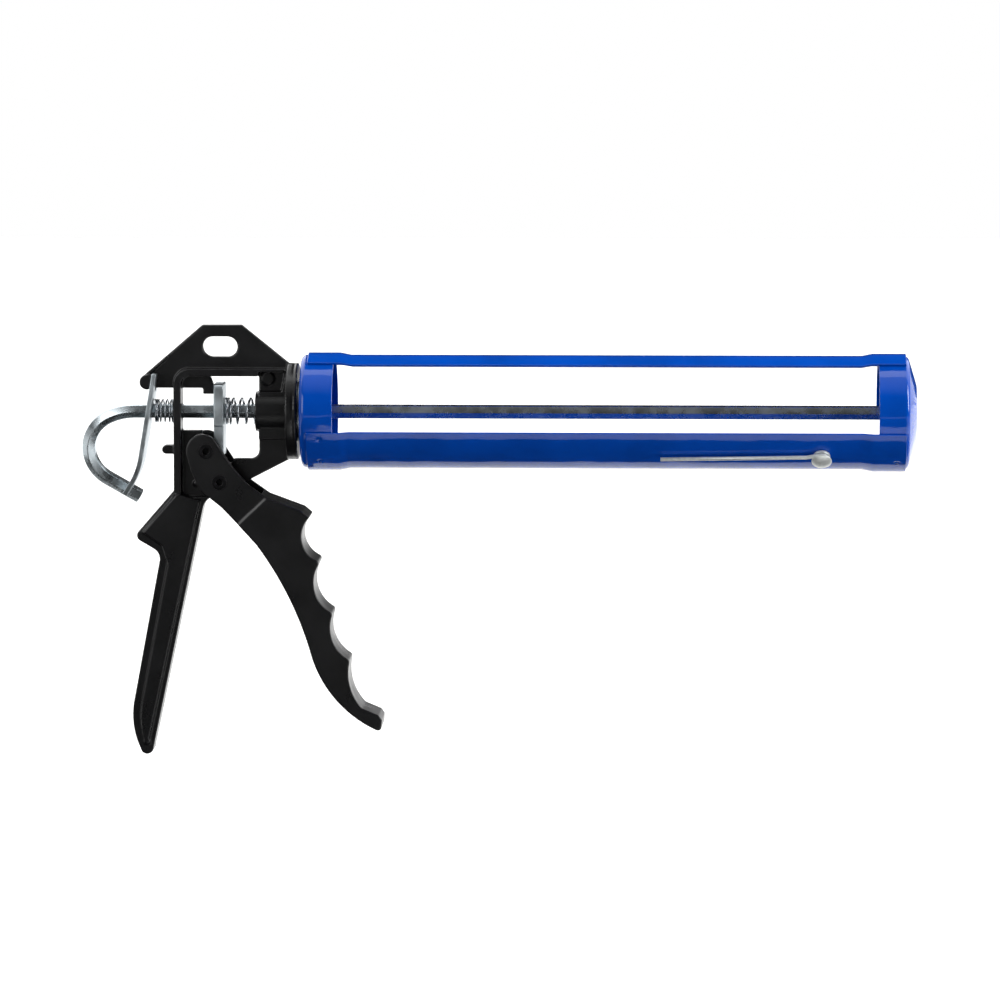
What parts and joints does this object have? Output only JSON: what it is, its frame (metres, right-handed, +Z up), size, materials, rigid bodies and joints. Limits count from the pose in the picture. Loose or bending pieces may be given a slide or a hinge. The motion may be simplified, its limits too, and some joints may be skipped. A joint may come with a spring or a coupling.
{
  "type": "caulking gun",
  "caption": "Caulking gun with a rotating open strap barrel, hooked push rod, squeeze trigger, thumb release plate, hanging plate and swinging piercing wire.",
  "frame": {"origin": "centre of the nozzle hole, on the outer face of the front cap", "axes": "+X forward along the push rod, towards the nozzle; +Z up, away from the handle; -Y is the side of the barrel's narrow gap"},
  "size_m": [0.3921, 0.053, 0.2025],
  "materials": {
    "black_powder_coat": "semi-gloss black powder coat on an aluminium die casting",
    "black_trigger_coat": "semi-gloss black powder coat on a cast trigger",
    "black_pin": "black oxide on steel rivets",
    "blue_enamel": "glossy blue enamel on sheet steel",
    "zinc_plate": "bright zinc plate on a drawn hexagonal bar",
    "zinc_sheet": "bright zinc plate on stamped plates",
    "zinc_small": "bright zinc plate on small fixings",
    "steel_pressing": "plated pressed steel",
    "spring_steel": "plated spring steel"
  },
  "bodies": {
    "frame": {"frame_casting": "black_powder_coat", "bearing_washer": "zinc_small", "retaining_washer": "zinc_small", "retaining_ring": "spring_steel", "drive_spring": "spring_steel", "release_spring": "spring_steel"},
    "barrel": {"rear_cap": "blue_enamel", "front_cap": "blue_enamel", "upper_strap": "blue_enamel", "lower_strap": "blue_enamel", "pin_rivet": "zinc_small", "lift_washer": "zinc_small"},
    "piercing_wire": {"seal_pin": "zinc_small"},
    "rod": {"push_rod": "zinc_plate", "pusher_backing": "zinc_small", "pusher_plate": "steel_pressing", "pusher_nut": "zinc_small"},
    "trigger": {"trigger": "black_trigger_coat", "pivot_pin": "black_pin", "drive_pin": "black_pin", "drive_spacer": "steel_pressing"},
    "drive": {"drive_plate": "zinc_sheet"},
    "release": {"release_plate": "zinc_sheet"}
  },
  "joints": [
    {"name": "barrel_turn", "type": "hinge", "parent": "frame", "child": "barrel", "pos_m": [-0.2875, 0, 0], "axis": [1, 0, 0], "continuous": true},
    {"name": "wire_swing", "type": "hinge", "parent": "barrel", "child": "piercing_wire", "pos_m": [-0.0445, -0.02024, -0.01935], "axis": [0, -0.723, -0.6909], "continuous": true},
    {"name": "rod_slide", "type": "slide", "parent": "frame", "child": "rod", "axis": [1, 0, 0], "range_m": [-0.26, 0]},
    {"name": "trigger_pull", "type": "hinge", "parent": "frame", "child": "trigger", "pos_m": [-0.32608, 0, -0.0324], "axis": [0, 1, 0], "range_deg": [0, 28], "stiffness_Nm_per_rad": 0.5, "springref_deg": -22.92},
    {"name": "drive_slide", "type": "slide", "parent": "frame", "child": "drive", "axis": [1, 0, 0], "range_m": [0, 0.0075], "deforming": ["drive_spring"]},
    {"name": "release_press", "type": "hinge", "parent": "frame", "child": "release", "pos_m": [-0.35838, 0, 0.0148], "axis": [0, -1, 0], "range_deg": [0, 12], "stiffness_Nm_per_rad": 0.15, "springref_deg": -28.65, "deforming": ["release_spring"]}
  ],
  "couplings": [
    {"joint": "drive_slide", "follows": "trigger_pull", "m_per_rad": 0.0153}
  ]
}
